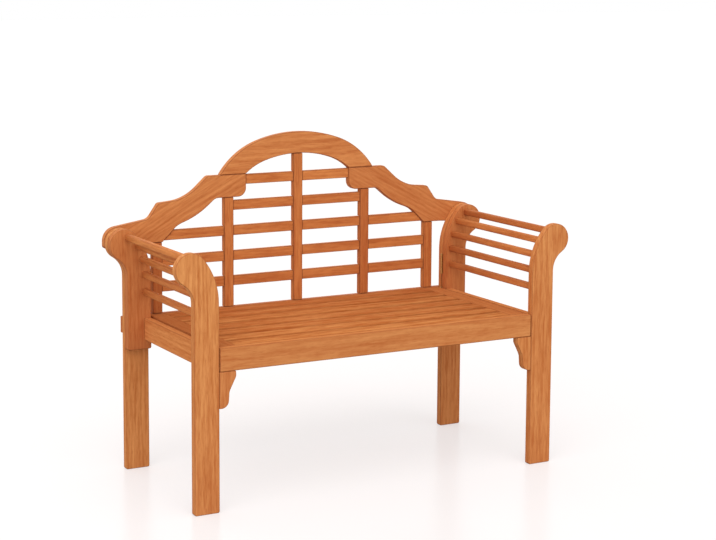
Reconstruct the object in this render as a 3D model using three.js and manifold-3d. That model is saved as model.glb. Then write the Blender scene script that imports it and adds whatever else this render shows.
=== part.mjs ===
// A folding two-seat garden bench in oiled hardwood, in millimetres, +Z up.
// X runs along the bench, -Y is its front and Z = 0 is the ground. The crest and its lattice are fixed behind
// two scrolled rear legs, the slatted seat tips up on two pins, and an end frame hangs on each rear leg by
// two butt hinges. Until the last lines, Y = 0 is the front face of the rear legs, where the hinges turn.

import * as THREE from 'three';
import { mergeVertices } from 'three/addons/utils/BufferGeometryUtils.js';
import Module from 'manifold-3d';

const wasm = await Module();
wasm.setup();

// Clearances
const GAP = 0.3; // between pieces that touch
const OVERRUN = 4; // how far a cutter runs past the wood that it cuts
const SAG = 0.1; // how far a chord may lie inside the arc that it stands for

// Whole bench
const LEG_SPAN = 1100; // over the outer faces of the legs
const FRAME_DEPTH = 464; // from the rear legs' front face to the front of the front legs
const SEAT_HEIGHT = 430;
const ARM_HEIGHT = 680;
const CREST_HEIGHT = 921;
const BOARD = 21; // thickness of every heavy board

// Legs and their scrolls
const LEG_WIDTH = 70;
const FOOT_ROUND = 5;
const SCROLL_REACH = 50; // how far a scroll overhangs the leg's outer face
const SCROLL_RADIUS = 43;
const SWEEP_RADIUS = 180; // of the inner edge as it leans out under the scroll
const THROAT_RADIUS = 60; // of the hollow between the outer edge and the scroll

// Crest: a three-centred arch that stands on two wings
const CREST_THICK = 20;
const ARCH_RISE = 113.5; // from the wings' top to the crown
const ARCH_CROWN_RADIUS = 404;
const ARCH_CROWN_ANGLE = THREE.MathUtils.degToRad(18.9); // from the middle to where the haunch starts
const ARCH_HAUNCH_RADIUS = 228;
const ARCH_BAND = 62;
const WING_TIP_DROP = 50.5; // from the top of the arm to the wing's underside behind the scroll
// Corners of the right wing, as [out, up, rounding]: out from its inner end to the scroll's tip, up from its
// underside beside the leg to its top, and the rounding as a share of that same height
const WING_SHARES = [
  [0, 1, 0],
  [0, 0.638, 0.14],
  [0.221, 0.638, 0.14],
  [0.349, 0.376, 1.35],
  [0.493, 0.253, 0.39],
  [0.598, 0, 0.02],
  [0.723, 0, 0],
  [1, -0.042, 0.045],
  [1, 0.264, 0.22],
  [0.694, 0.379, 0.14],
  [0.625, 0.618, 0.06],
  [0.435, 0.656, 0.76],
  [0.277, 1, 0.07],
];

// Lattice between the back rail and the crest
const STILE_COUNT = 5;
const STILE_WIDTH = 29;
const STILE_THICK = 18;
const STILE_END_SPACE = 23.5; // between the outer stile and the rear leg
const RAIL_COUNT = 5;
const RAIL_HEIGHT = 28;
const RAIL_THICK = 14;
const RAIL_TOP_DROP = 1.5; // from the wings' top to the highest rail
const RAIL_LOW_SPACE = 60; // under the lowest rail
const BACK_RAIL_HEIGHT = 46;
const BACK_RAIL_THICK = 18;
const BACK_RAIL_DROP = 1; // below the seat
const BACK_RAIL_INSET = 2; // from the legs' outer faces

// Seat
const APRON_HEIGHT = 62;
const APRON_SIDE_PLAY = 2; // between the apron and each front leg
const SEAT_SIDE_PLAY = 7; // between an end rail and its rear leg, for the collar and the knuckles
const SEAT_BACK_PLAY = 1.3; // between the end rails' round ends and the back rail
const END_RAIL_WIDTH = 49;
const SEAT_SLAT_COUNT = 7;
const SEAT_SLAT_THICK = 18;
const SEAT_SLAT_GAP = 14.5;
const SEAT_SLAT_ROUND = 3;
const REAR_SLAT_REACH = 6; // how far the rear slat stands behind the pivots
const FRONT_SLAT_SHARE = 0.89; // width of the front slat, of the others'
const SUPPORT_WIDTH = 40;
const SUPPORT_THICK = 20;
const SUPPORT_PLACE = 150; // from the middle of the bench

// Seat pivots
const PIVOT_RADIUS = 4;
const PIVOT_HOLD = 25; // how deep a pin stands in the leg and in the end rail
const COLLAR_RADIUS = 6;

// End frames
const END_STILE_DROP = 26; // from the apron's lower edge to the end stile's
const LOWER_RAIL_DROP = 1; // below the seat
const ARM_SLAT_WIDTH = 16;
const ARM_SLAT_HEIGHT = 18;
const ARM_SLAT_ROUND = 4;
// Arm slats from the highest, as [out, up]: out from the leg's inner edge to the scroll's tip, and up from
// the lower rail to the top of the arm
const ARM_SLAT_SHARES = [
  [0.567, 0.912],
  [0.333, 0.811],
  [0.208, 0.656],
  [0.15, 0.486],
  [0.15, 0.296],
];

// Corner brackets under the apron
const BRACKET_WIDTH = 47;
const BRACKET_HEIGHT = 95.5;
// Corners of a bracket, as [in, down, rounding]: in and rounding as shares of its width, down of its height
const BRACKET_SHARES = [
  [0, 0, 0],
  [0, 1, 0],
  [0.54, 1, 0.44],
  [0.6, 0.545, 0.64],
  [1.01, 0.147, 0.3],
  [1, 0, 0],
];

// Butt hinges
const HINGE_COUNT = 2; // on each rear leg
const HINGE_HEIGHT = 60;
const HINGE_SPACE = 42; // between two hinges
const HINGE_INSET = 28; // from the end stile's foot to the lower hinge
const LEAF_WIDTH = 24;
const LEAF_THICK = 1.5;
const KNUCKLE_COUNT = 5;
const KNUCKLE_RADIUS = 2.9;
const HINGE_PIN_RADIUS = 1.4;
const HINGE_PIN_HEAD_RADIUS = 2.3;
const HINGE_PIN_HEAD = 1.2;
const ROUND_SIDES = 16;

// Finishes
const WOODS = { leg: 0xc5793f, crest: 0xbf6f3a, lath: 0xbd6a36, seat: 0xc67a42 };
const wood = (kind) => new THREE.MeshStandardMaterial({ color: WOODS[kind], roughness: 0.55, metalness: 0 });
const brass = () => new THREE.MeshStandardMaterial({ color: 0xb89455, roughness: 0.35, metalness: 0.9 });

// Worked-out sizes
const LEG_OUTER = LEG_SPAN / 2;
const LEG_INNER = LEG_OUTER - LEG_WIDTH;
const ARM_WIDTH = LEG_WIDTH + SCROLL_REACH;
const NOSE_OUT = ARM_WIDTH - SCROLL_RADIUS; // scroll centre, from the leg's inner edge
const NOSE_UP = ARM_HEIGHT - SCROLL_RADIUS;
const CREST_FRONT = BOARD + GAP;
const CREST_BACK = CREST_FRONT + CREST_THICK;
const WING_TOP = CREST_HEIGHT - ARCH_RISE;
const STILE_FRONT = CREST_FRONT + (CREST_THICK - STILE_THICK) / 2;
const RAIL_FRONT = CREST_FRONT + (CREST_THICK - RAIL_THICK) / 2;
const LAP_PLANE = CREST_FRONT + CREST_THICK / 2; // where laths halve into each other
const BACK_RAIL_TOP = SEAT_HEIGHT - BACK_RAIL_DROP;
const STILE_OUTERMOST = LEG_INNER - STILE_END_SPACE - STILE_WIDTH / 2;
const STILE_PITCH = (2 * STILE_OUTERMOST) / (STILE_COUNT - 1);
const RAIL_TOP = WING_TOP - RAIL_TOP_DROP;
const RAIL_PITCH = (RAIL_TOP - RAIL_HEIGHT - RAIL_LOW_SPACE - BACK_RAIL_TOP) / (RAIL_COUNT - 1);
const APRON_FOOT = SEAT_HEIGHT - APRON_HEIGHT;
const APRON_BACK = BOARD - FRAME_DEPTH;
const END_RAIL_OUTER = LEG_INNER - SEAT_SIDE_PLAY;
const END_RAIL_INNER = END_RAIL_OUTER - END_RAIL_WIDTH;
const PIVOT_UP = SEAT_HEIGHT - BOARD / 2;
const PIVOT_BACK = CREST_FRONT - SEAT_BACK_PLAY - BOARD / 2;
const SEAT_FRONT = APRON_BACK + GAP; // front ends of the rails and slats that the apron covers
const END_STILE_FOOT = APRON_FOOT - END_STILE_DROP;
const END_STILE_FRONT = -GAP - BOARD;
const LOWER_RAIL_TOP = SEAT_HEIGHT - LOWER_RAIL_DROP;
const HINGE_PITCH = HINGE_HEIGHT + HINGE_SPACE;
const KNUCKLE_HEIGHT = HINGE_HEIGHT / KNUCKLE_COUNT;
const KNUCKLE_IN = KNUCKLE_RADIUS + GAP; // hinge pin, from the leg's inner face towards the middle

const SIDES = Object.entries({ left: -1, right: 1 });
const range = (count) => Array.from({ length: count }, (_, i) => i);

// Shapes

const point = (x, y) => new THREE.Vector2(x, y);

// Points on an arc from one angle to another, both ends included
function arc(x, y, radius, from, to) {
  const steps = Math.ceil(Math.abs(to - from) / (2 * Math.acos(1 - SAG / radius)));
  return range(steps + 1).map((i) => {
    const angle = from + ((to - from) * i) / steps;
    return point(x + radius * Math.cos(angle), y + radius * Math.sin(angle));
  });
}

// A polygon whose corners [x, y, radius] are rounded by arcs that touch both sides
function rounded(corners) {
  return corners.flatMap(([x, y, radius], i) => {
    const here = point(x, y);
    if (!radius) return [here];
    const next = corners[(i + 1) % corners.length];
    const back = point(...corners.at(i - 1)).sub(here).normalize();
    const on = point(...next).sub(here).normalize();
    const half = back.angleTo(on) / 2;
    const centre = back.clone().add(on).setLength(radius / Math.sin(half)).add(here);
    const [start, end] = [back, on].map((way) => {
      return way.clone().multiplyScalar(radius / Math.tan(half)).add(here).sub(centre).angle();
    });
    const turn = Math.atan2(Math.sin(end - start), Math.cos(end - start));
    return arc(centre.x, centre.y, radius, start, start + turn);
  });
}

const mirrored = (outline, side) => outline.map((p) => point(side * p.x, p.y));

// A rectangle about its centre, with rounded corners
function rectangle(width, height, round) {
  const [x, y] = [width / 2, height / 2];
  return rounded([[-x, -y, round], [x, -y, round], [x, y, round], [-x, y, round]]);
}

// Where an outline crosses one value of an axis, as values on the other axis
function crossings(outline, axis, value, other) {
  return outline.flatMap((p, i) => {
    const q = outline[(i + 1) % outline.length];
    if ((p[axis] - value) * (q[axis] - value) > 0 || p[axis] === q[axis]) return [];
    return [THREE.MathUtils.mapLinear(value, p[axis], q[axis], p[other], q[other])];
  });
}

// A board with its outline in X and Z, between two places on Y
function plate(outline, front, back) {
  const options = { depth: back - front, bevelEnabled: false, steps: 1 };
  return new THREE.ExtrudeGeometry(new THREE.Shape(outline), options)
    .rotateX(Math.PI / 2)
    .translate(0, back, 0);
}

// A bar with its section in Y and Z, between two places on X
function bar(section, left, right) {
  const options = { depth: right - left, bevelEnabled: false, steps: 1 };
  const turn = new THREE.Matrix4().makeBasis(
    new THREE.Vector3(0, 1, 0),
    new THREE.Vector3(0, 0, 1),
    new THREE.Vector3(1, 0, 0),
  );
  return new THREE.ExtrudeGeometry(new THREE.Shape(section), options).applyMatrix4(turn).translate(left, 0, 0);
}

// A box between two corners, given as spans on X, Y and Z
function block(xs, ys, zs) {
  const spans = [xs, ys, zs];
  const sizes = spans.map(([a, b]) => Math.abs(b - a));
  const centre = spans.map(([a, b]) => (a + b) / 2);
  return new THREE.BoxGeometry(...sizes).translate(...centre);
}

// A turned piece along Z: the profile gives [radius, height] from its foot to its head
function turned(profile) {
  return new THREE.LatheGeometry(profile.map(([r, z]) => point(r, z)), ROUND_SIDES).rotateX(Math.PI / 2);
}

// A turned piece on the seat's pivot line: the profile gives [radius, place] outwards from the middle
function turnedOnPivot(profile, side) {
  const placed = profile.map(([r, x]) => [r, side * x]);
  if (side < 0) placed.reverse();
  return turned(placed)
    .rotateY(Math.PI / 2)
    .translate(0, PIVOT_BACK, PIVOT_UP);
}

const rod = (radius, from, to) => [[0, from], [radius, from], [radius, to], [0, to]];

// Joining and cutting

function solid(geometry) {
  const bare = geometry.clone();
  bare.deleteAttribute('normal');
  bare.deleteAttribute('uv');
  const merged = mergeVertices(bare);
  return new wasm.Manifold(
    new wasm.Mesh({
      numProp: 3,
      vertProperties: Float32Array.from(merged.attributes.position.array),
      triVerts: Uint32Array.from(merged.index.array),
    }),
  );
}

function geometryOf(manifold) {
  const { vertProperties, triVerts } = manifold.getMesh();
  const geometry = new THREE.BufferGeometry();
  geometry.setAttribute('position', new THREE.BufferAttribute(vertProperties, 3));
  geometry.setIndex(new THREE.BufferAttribute(triVerts, 1));
  geometry.computeVertexNormals();
  return geometry;
}

function cut(geometry, cutters) {
  return geometryOf(cutters.reduce((left, cutter) => left.subtract(solid(cutter)), solid(geometry)));
}

function join(geometries) {
  return geometryOf(geometries.map(solid).reduce((sum, next) => sum.add(next)));
}

function piece(name, geometry, material, [x, y, z] = [0, 0, 0]) {
  const mesh = new THREE.Mesh(geometry, material);
  mesh.name = name;
  mesh.position.set(x, y, z);
  return mesh;
}

// Legs

// Outline of a scrolled leg or stile on the right, from its foot straight up and out to the scroll
function scrollOutline(foot) {
  const sweepUp = NOSE_UP - Math.sqrt((SWEEP_RADIUS - SCROLL_RADIUS) ** 2 - (SWEEP_RADIUS - NOSE_OUT) ** 2);
  const sweepEnd = Math.atan2(NOSE_UP - sweepUp, NOSE_OUT - SWEEP_RADIUS);
  const throatOut = LEG_WIDTH + THROAT_RADIUS;
  const throatUp = NOSE_UP - Math.sqrt((THROAT_RADIUS + SCROLL_RADIUS) ** 2 - (throatOut - NOSE_OUT) ** 2);
  const throatEnd = Math.atan2(NOSE_UP - throatUp, NOSE_OUT - throatOut);
  const outline = [
    ...arc(LEG_WIDTH - FOOT_ROUND, foot + FOOT_ROUND, FOOT_ROUND, -Math.PI / 2, 0),
    ...arc(throatOut, throatUp, THROAT_RADIUS, Math.PI, throatEnd),
    ...arc(NOSE_OUT, NOSE_UP, SCROLL_RADIUS, throatEnd - Math.PI, sweepEnd).slice(1),
    ...arc(SWEEP_RADIUS, sweepUp, SWEEP_RADIUS, sweepEnd, Math.PI).slice(1),
    ...arc(FOOT_ROUND, foot + FOOT_ROUND, FOOT_ROUND, Math.PI, (3 * Math.PI) / 2),
  ];
  return outline.map((p) => point(LEG_INNER + p.x, p.y));
}

const hingeFoots = range(HINGE_COUNT).map((i) => END_STILE_FOOT + HINGE_INSET + i * HINGE_PITCH);

// Recesses for the leaves of one end frame's hinges, between two places on Y
function leafRecesses(side, front, back) {
  const across = [side * (LEG_INNER - OVERRUN), side * (LEG_INNER + LEAF_WIDTH + GAP)];
  return hingeFoots.map((foot) => block(across, [front, back], [foot - GAP, foot + HINGE_HEIGHT + GAP]));
}

function rearLeg(side) {
  const board = plate(mirrored(scrollOutline(0), side), 0, BOARD);
  const bore = rod(PIVOT_RADIUS + GAP, LEG_INNER - OVERRUN, LEG_INNER + PIVOT_HOLD + GAP);
  return cut(board, [...leafRecesses(side, -OVERRUN, LEAF_THICK + GAP), turnedOnPivot(bore, side)]);
}

const frontLeg = (side) => plate(mirrored(scrollOutline(0), side), -FRAME_DEPTH, APRON_BACK);

function endStile(side) {
  const board = plate(mirrored(scrollOutline(END_STILE_FOOT), side), END_STILE_FRONT, -GAP);
  return cut(board, leafRecesses(side, -GAP - LEAF_THICK - GAP, OVERRUN));
}

// Crest

// The arch's outer edge, or an edge inset from it, from right to left: haunch, crown and haunch
function archEdge(inset) {
  const haunch = ARCH_HAUNCH_RADIUS - inset;
  const offset = ARCH_CROWN_RADIUS - ARCH_HAUNCH_RADIUS;
  const crownUp = CREST_HEIGHT - ARCH_CROWN_RADIUS;
  const x = offset * Math.sin(ARCH_CROWN_ANGLE);
  const z = crownUp + offset * Math.cos(ARCH_CROWN_ANGLE);
  const foot = Math.asin((WING_TOP + GAP - z) / haunch);
  const [low, high] = [Math.PI / 2 - ARCH_CROWN_ANGLE, Math.PI / 2 + ARCH_CROWN_ANGLE];
  return [
    ...arc(x, z, haunch, foot, low),
    ...arc(0, crownUp, ARCH_CROWN_RADIUS - inset, low, high).slice(1),
    ...arc(-x, z, haunch, high, Math.PI - foot).slice(1),
  ];
}

const archUnderside = archEdge(ARCH_BAND);
const archOutline = [...archEdge(0), ...archUnderside.toReversed()];
const wingInner = archUnderside[0].x;

// Right wing: from under the arch down two shoulders to the scroll, and back along its waved underside
function wingCorners() {
  const reach = LEG_INNER + ARM_WIDTH - wingInner;
  const foot = ARM_HEIGHT - WING_TIP_DROP;
  const height = WING_TOP - foot;
  return WING_SHARES.map(([out, up, round]) => [wingInner + out * reach, foot + up * height, round * height]);
}

const wingOutline = rounded(wingCorners());

// Lattice

const stilePlaces = range(STILE_COUNT).map((i) => i * STILE_PITCH - STILE_OUTERMOST);

// Lowest point of the crest above a place on X
function crestUnderside(x) {
  return Math.min(...[archOutline, wingOutline].flatMap((edge) => crossings(edge, 'x', Math.abs(x), 'y')));
}

// How far a rail runs from the middle at one height: to the stile where it stops, or to the wing if sooner
function railReach(stop, height) {
  return Math.min(stop - STILE_WIDTH / 2, ...crossings(wingOutline, 'y', height, 'x')) - GAP;
}

// The second rail stops at the inner stiles, and the others run on to the wings or the outer stiles. Ends
// within the inner stiles are square, and the others follow the wing's underside.
const rails = range(RAIL_COUNT).map((i) => {
  const stop = i === 1 ? STILE_PITCH : STILE_OUTERMOST;
  const top = RAIL_TOP - i * RAIL_PITCH;
  const heights = [top - RAIL_HEIGHT, top - RAIL_HEIGHT / 2, top];
  const reaches = heights.map((height) => railReach(stop, height));
  const reach = Math.min(...reaches);
  const end = heights.map((height, j) => point(reach < STILE_PITCH ? reach : reaches[j], height));
  return { top, foot: top - RAIL_HEIGHT, end, reach };
});

// A rail is halved at its front where it crosses a stile
function backRail({ end, foot, top, reach }) {
  const outline = [...end, ...mirrored(end, -1).reverse()];
  const half = STILE_WIDTH / 2 + GAP;
  const deep = [RAIL_FRONT - OVERRUN, LAP_PLANE + GAP / 2];
  const notches = stilePlaces
    .filter((x) => Math.abs(x) < reach)
    .map((x) => block([x - half, x + half], deep, [foot - OVERRUN, top + OVERRUN]));
  return cut(plate(outline, RAIL_FRONT, RAIL_FRONT + RAIL_THICK), notches);
}

// A stile is halved at its back where a rail crosses it
function backStile(x) {
  const half = STILE_WIDTH / 2;
  const across = [x - half, x + half];
  const top = Math.min(...across.map(crestUnderside)) - GAP;
  const back = STILE_FRONT + STILE_THICK;
  const notches = rails
    .filter((rail) => Math.abs(x) < rail.reach)
    .map((rail) => {
      const wide = [x - half - OVERRUN, x + half + OVERRUN];
      return block(wide, [LAP_PLANE - GAP / 2, back + OVERRUN], [rail.foot - GAP, rail.top + GAP]);
    });
  return cut(block(across, [STILE_FRONT, back], [BACK_RAIL_TOP + GAP, top]), notches);
}

function backBottomRail() {
  const half = LEG_OUTER - BACK_RAIL_INSET;
  const tall = [BACK_RAIL_TOP - BACK_RAIL_HEIGHT, BACK_RAIL_TOP];
  return block([-half, half], [CREST_FRONT, CREST_FRONT + BACK_RAIL_THICK], tall);
}

function backFrame() {
  const group = new THREE.Group();
  group.add(piece('crest_arch', plate(archOutline, CREST_FRONT, CREST_BACK), wood('crest')));
  group.add(piece('back_bottom_rail', backBottomRail(), wood('crest')));
  for (const [name, side] of SIDES) {
    const wing = plate(mirrored(wingOutline, side), CREST_FRONT, CREST_BACK);
    group.add(piece(`rear_leg_${name}`, rearLeg(side), wood('leg')));
    group.add(piece(`crest_wing_${name}`, wing, wood('crest')));
  }
  stilePlaces.forEach((x, i) => group.add(piece(`back_stile_${i + 1}`, backStile(x), wood('lath'))));
  rails.forEach((rail, i) => group.add(piece(`back_rail_${i + 1}`, backRail(rail), wood('lath'))));
  return group;
}

// Seat

// Section of an end rail: a bar whose rear end is rounded about the pivot
function endRailSection() {
  return [
    point(SEAT_FRONT, SEAT_HEIGHT - BOARD),
    ...arc(PIVOT_BACK, PIVOT_UP, BOARD / 2, -Math.PI / 2, Math.PI / 2),
    point(SEAT_FRONT, SEAT_HEIGHT),
  ];
}

function seatEndRail(side) {
  const [left, right] = side < 0 ? [-END_RAIL_OUTER, -END_RAIL_INNER] : [END_RAIL_INNER, END_RAIL_OUTER];
  const bore = rod(PIVOT_RADIUS + GAP, END_RAIL_OUTER - PIVOT_HOLD - GAP, END_RAIL_OUTER + OVERRUN);
  return cut(bar(endRailSection(), left, right), [turnedOnPivot(bore, side)]);
}

// Slats from the rear to the front, each as the place of its rear edge and its width
function seatSlatRows() {
  const rear = PIVOT_BACK + REAR_SLAT_REACH;
  const full = SEAT_SLAT_COUNT - 1;
  const width = (rear - SEAT_FRONT - full * SEAT_SLAT_GAP) / (full + FRONT_SLAT_SHARE);
  return range(SEAT_SLAT_COUNT).map((i) => ({
    rear: rear - i * (width + SEAT_SLAT_GAP),
    width: i < full ? width : width * FRONT_SLAT_SHARE,
  }));
}

function seatSlat(width) {
  const half = END_RAIL_INNER - GAP;
  return bar(rectangle(width, SEAT_SLAT_THICK, SEAT_SLAT_ROUND), -half, half);
}

function seatSupport() {
  const top = SEAT_HEIGHT - SEAT_SLAT_THICK - GAP;
  return block([-SUPPORT_WIDTH / 2, SUPPORT_WIDTH / 2], [SEAT_FRONT, PIVOT_BACK], [top - SUPPORT_THICK, top]);
}

function seat() {
  const group = new THREE.Group();
  const apronHalf = LEG_INNER - APRON_SIDE_PLAY;
  const apron = block([-apronHalf, apronHalf], [-FRAME_DEPTH, APRON_BACK], [APRON_FOOT, SEAT_HEIGHT]);
  group.add(piece('seat_apron', apron, wood('seat')));
  seatSlatRows().forEach(({ rear, width }, i) => {
    const place = [0, rear - width / 2, SEAT_HEIGHT - SEAT_SLAT_THICK / 2];
    group.add(piece(`seat_slat_${i + 1}`, seatSlat(width), wood('seat'), place));
  });
  for (const [name, side] of SIDES) {
    group.add(piece(`seat_end_rail_${name}`, seatEndRail(side), wood('seat')));
    group.add(piece(`seat_support_${name}`, seatSupport(), wood('seat'), [side * SUPPORT_PLACE, 0, 0]));
  }
  return group;
}

// A pin that stands in the leg and carries the end rail, with a collar that keeps them apart
function pivotPin(side) {
  const [from, to] = [END_RAIL_OUTER - PIVOT_HOLD, LEG_INNER + PIVOT_HOLD];
  const collar = [[PIVOT_RADIUS, END_RAIL_OUTER + GAP], [COLLAR_RADIUS, END_RAIL_OUTER + GAP]];
  const end = [[COLLAR_RADIUS, LEG_INNER - GAP], [PIVOT_RADIUS, LEG_INNER - GAP]];
  return turnedOnPivot([[0, from], [PIVOT_RADIUS, from], ...collar, ...end, [PIVOT_RADIUS, to], [0, to]], side);
}

// End frames

function lowerRail(side) {
  const across = [side * LEG_INNER, side * (LEG_INNER + BOARD)];
  return block(across, [SEAT_FRONT, END_STILE_FRONT - GAP], [APRON_FOOT, LOWER_RAIL_TOP]);
}

function cornerBracket(side) {
  const [root, top] = [LEG_INNER - GAP, APRON_FOOT - GAP];
  const corners = BRACKET_SHARES.map(([inwards, down, round]) => {
    return [root - inwards * BRACKET_WIDTH, top - down * BRACKET_HEIGHT, round * BRACKET_WIDTH];
  });
  return plate(mirrored(rounded(corners), side), -FRAME_DEPTH, APRON_BACK);
}

function endFrame(name, side) {
  const group = new THREE.Group();
  group.add(piece(`front_leg_${name}`, frontLeg(side), wood('leg')));
  group.add(piece(`end_stile_${name}`, endStile(side), wood('leg')));
  group.add(piece(`lower_rail_${name}`, lowerRail(side), wood('seat')));
  group.add(piece(`corner_bracket_${name}`, cornerBracket(side), wood('leg')));
  ARM_SLAT_SHARES.forEach(([out, up], i) => {
    const section = rectangle(ARM_SLAT_WIDTH, ARM_SLAT_HEIGHT, ARM_SLAT_ROUND);
    const height = THREE.MathUtils.lerp(LOWER_RAIL_TOP, ARM_HEIGHT, up);
    const slat = plate(section, SEAT_FRONT, END_STILE_FRONT - GAP);
    const place = [side * (LEG_INNER + out * ARM_WIDTH), 0, height];
    group.add(piece(`arm_slat_${name}_${i + 1}`, slat, wood('seat'), place));
  });
  return group;
}

// Hinges, each about its leg's inner edge and its own foot

// One leaf with its own knuckles, whose front face is at a place on Y
function hingeLeaf(side, front, knuckles) {
  const deep = [front, front + LEAF_THICK];
  const leaf = block([0, side * LEAF_WIDTH], deep, [0, HINGE_HEIGHT]);
  const rolled = knuckles.flatMap((i) => {
    const tall = [i * KNUCKLE_HEIGHT + GAP / 2, (i + 1) * KNUCKLE_HEIGHT - GAP / 2];
    const barrel = turned(rod(KNUCKLE_RADIUS, ...tall)).translate(-side * KNUCKLE_IN, -GAP / 2, 0);
    return [barrel, block([-side * KNUCKLE_IN, side * LEAF_THICK], deep, tall)];
  });
  const bore = turned(rod(HINGE_PIN_RADIUS + GAP, -OVERRUN, HINGE_HEIGHT + OVERRUN));
  return cut(join([leaf, ...rolled]), [bore.translate(-side * KNUCKLE_IN, -GAP / 2, 0)]);
}

function hingePin() {
  const [foot, head] = [-GAP, HINGE_HEIGHT + GAP];
  return turned([
    [0, foot - HINGE_PIN_HEAD],
    [HINGE_PIN_HEAD_RADIUS, foot - HINGE_PIN_HEAD],
    [HINGE_PIN_HEAD_RADIUS, foot],
    [HINGE_PIN_RADIUS, foot],
    [HINGE_PIN_RADIUS, head],
    [HINGE_PIN_HEAD_RADIUS, head],
    [HINGE_PIN_HEAD_RADIUS, head + HINGE_PIN_HEAD],
    [0, head + HINGE_PIN_HEAD],
  ]);
}

// Even knuckles are on the leg's leaf and odd ones on the end stile's
function hinge(name, side, foot) {
  const group = new THREE.Group();
  const knuckles = range(KNUCKLE_COUNT);
  const legLeaf = hingeLeaf(side, 0, knuckles.filter((i) => i % 2 === 0));
  const stileLeaf = hingeLeaf(side, -GAP - LEAF_THICK, knuckles.filter((i) => i % 2 === 1));
  group.position.set(side * LEG_INNER, 0, foot);
  group.add(piece(`${name}_leg_leaf`, legLeaf, brass()));
  group.add(piece(`${name}_stile_leaf`, stileLeaf, brass()));
  group.add(piece(`${name}_pin`, hingePin(), brass(), [-side * KNUCKLE_IN, -GAP / 2, 0]));
  return group;
}

// Bench, with its origin on the ground under the middle of its outline

const bench = new THREE.Group();
bench.position.y = (FRAME_DEPTH - CREST_BACK) / 2;
bench.add(backFrame(), seat());
for (const [name, side] of SIDES) {
  bench.add(endFrame(name, side));
  bench.add(piece(`seat_pivot_pin_${name}`, pivotPin(side), brass()));
  hingeFoots.forEach((foot, i) => bench.add(hinge(`hinge_${name}_${i + 1}`, side, foot)));
}

export default bench;
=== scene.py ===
"""A two-seat folding garden bench in oiled hardwood, dressed over its solid model.

The back frame, the lattice, the end frames and the hinges ride on the body "frame", and the seat
rides on the body "seat", which tips up. Sizes are in metres, +Z is up, and the bench faces -Y.
"""

import logging
import math
import random
from dataclasses import dataclass, field, replace
from enum import Enum

import bmesh
import bpy
from mathutils import Euler, Matrix, Vector


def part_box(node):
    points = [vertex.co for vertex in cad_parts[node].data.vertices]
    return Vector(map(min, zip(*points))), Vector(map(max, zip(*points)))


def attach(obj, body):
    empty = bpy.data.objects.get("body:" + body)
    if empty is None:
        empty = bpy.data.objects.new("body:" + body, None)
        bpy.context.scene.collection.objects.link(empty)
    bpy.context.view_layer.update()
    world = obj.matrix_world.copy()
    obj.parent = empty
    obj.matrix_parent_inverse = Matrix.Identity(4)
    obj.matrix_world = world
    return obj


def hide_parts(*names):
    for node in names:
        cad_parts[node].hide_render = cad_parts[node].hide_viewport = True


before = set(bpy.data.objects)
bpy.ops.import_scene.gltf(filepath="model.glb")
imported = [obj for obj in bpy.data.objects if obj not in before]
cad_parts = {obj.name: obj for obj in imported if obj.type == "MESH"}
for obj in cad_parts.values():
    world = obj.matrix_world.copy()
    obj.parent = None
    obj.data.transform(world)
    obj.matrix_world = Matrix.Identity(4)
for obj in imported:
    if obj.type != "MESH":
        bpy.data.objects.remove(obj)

MM = 0.001
SIDES = ("left", "right")
LOG = logging.getLogger("bench")
Socket = bpy.types.NodeSocket
SocketValue = object
SocketValues = dict[int | str, SocketValue]
Colour = tuple[float, float, float]
Triple = tuple[float, float, float]
Span = tuple[float, float]
WHITE: Colour = (1.0, 1.0, 1.0)


class Slot(Enum):
    """The record's material slots."""

    LEGS = "wood_legs"
    CREST = "wood_crest"
    LATHS = "wood_laths"
    SEAT = "wood_seat"
    BRASS = "brass"


class Body(Enum):
    """The bodies that pieces ride on."""

    FRAME = "frame"
    SEAT = "seat"


class Grain(Enum):
    """Which way a board's grain runs, as a turn about Y and then Z from +X, in degrees."""

    LEVEL = (0.0, 0.0)
    UPRIGHT = (-90.0, 0.0)
    DEEP = (0.0, 90.0)
    RISING = (-28.0, 0.0)
    FALLING = (28.0, 0.0)

    def matrix(self) -> Matrix:
        """Returns the turn that takes +X to the grain."""
        pitch, yaw = self.value
        return Euler((0.0, math.radians(pitch), math.radians(yaw)), "XYZ").to_matrix()


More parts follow.
